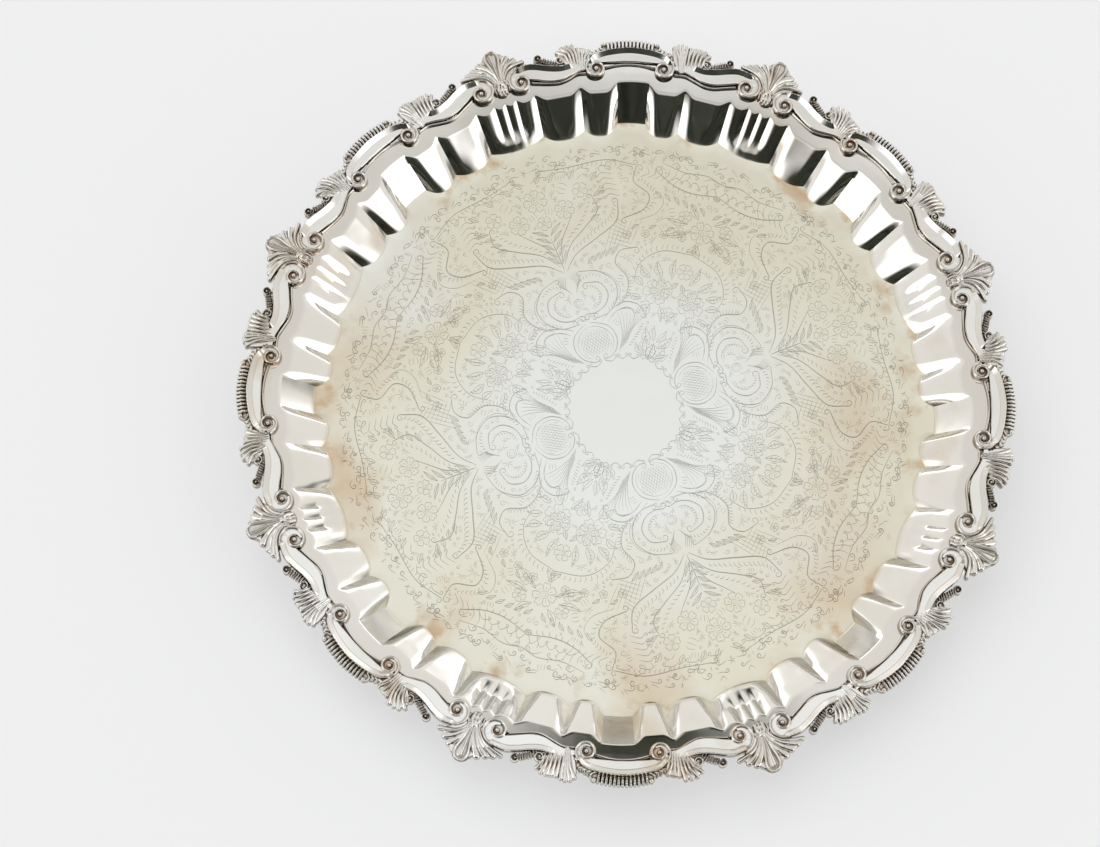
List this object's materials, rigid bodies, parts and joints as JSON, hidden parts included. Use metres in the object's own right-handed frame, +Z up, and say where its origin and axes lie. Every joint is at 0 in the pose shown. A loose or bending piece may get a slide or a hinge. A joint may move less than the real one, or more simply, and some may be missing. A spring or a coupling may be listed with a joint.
{
  "type": "silver salver",
  "caption": "Large round footed silver salver with a flat field, a fluted wall and a cast border of shells, fans, scrolls and gadroons",
  "frame": {"origin": "centre of the footprint, on the surface that the feet stand on", "axes": "+Z up out of the field and along the axis of the eightfold border; +X and +Y through the middles of C-scroll castings"},
  "size_m": [0.5724, 0.5724, 0.0522],
  "materials": {
    "sheet_silver": "polished and hand engraved, with a warm light tarnish",
    "cast_silver": "cast and chased, dark in the recesses",
    "foot_silver": "cast, worn at the sole"
  },
  "bodies": {
    "root": {"pan": "sheet_silver", "corner_shell_1": "cast_silver", "corner_shell_2": "cast_silver", "corner_shell_3": "cast_silver", "corner_shell_4": "cast_silver", "corner_shell_5": "cast_silver", "corner_shell_6": "cast_silver", "corner_shell_7": "cast_silver", "corner_shell_8": "cast_silver", "c_scroll_1": "cast_silver", "c_scroll_2": "cast_silver", "c_scroll_3": "cast_silver", "c_scroll_4": "cast_silver", "c_scroll_5": "cast_silver", "c_scroll_6": "cast_silver", "c_scroll_7": "cast_silver", "c_scroll_8": "cast_silver", "s_scroll_left_1": "cast_silver", "s_scroll_left_2": "cast_silver", "s_scroll_left_3": "cast_silver", "s_scroll_left_4": "cast_silver", "s_scroll_left_5": "cast_silver", "s_scroll_left_6": "cast_silver", "s_scroll_left_7": "cast_silver", "s_scroll_left_8": "cast_silver", "s_scroll_right_1": "cast_silver", "s_scroll_right_2": "cast_silver", "s_scroll_right_3": "cast_silver", "s_scroll_right_4": "cast_silver", "s_scroll_right_5": "cast_silver", "s_scroll_right_6": "cast_silver", "s_scroll_right_7": "cast_silver", "s_scroll_right_8": "cast_silver", "fan_shell_left_1": "cast_silver", "fan_shell_left_2": "cast_silver", "fan_shell_left_3": "cast_silver", "fan_shell_left_4": "cast_silver", "fan_shell_left_5": "cast_silver", "fan_shell_left_6": "cast_silver", "fan_shell_left_7": "cast_silver", "fan_shell_left_8": "cast_silver", "fan_shell_right_1": "cast_silver", "fan_shell_right_2": "cast_silver", "fan_shell_right_3": "cast_silver", "fan_shell_right_4": "cast_silver", "fan_shell_right_5": "cast_silver", "fan_shell_right_6": "cast_silver", "fan_shell_right_7": "cast_silver", "fan_shell_right_8": "cast_silver", "foot_front_right": "foot_silver", "foot_back_right": "foot_silver", "foot_back_left": "foot_silver", "foot_front_left": "foot_silver"}
  },
  "joints": []
}
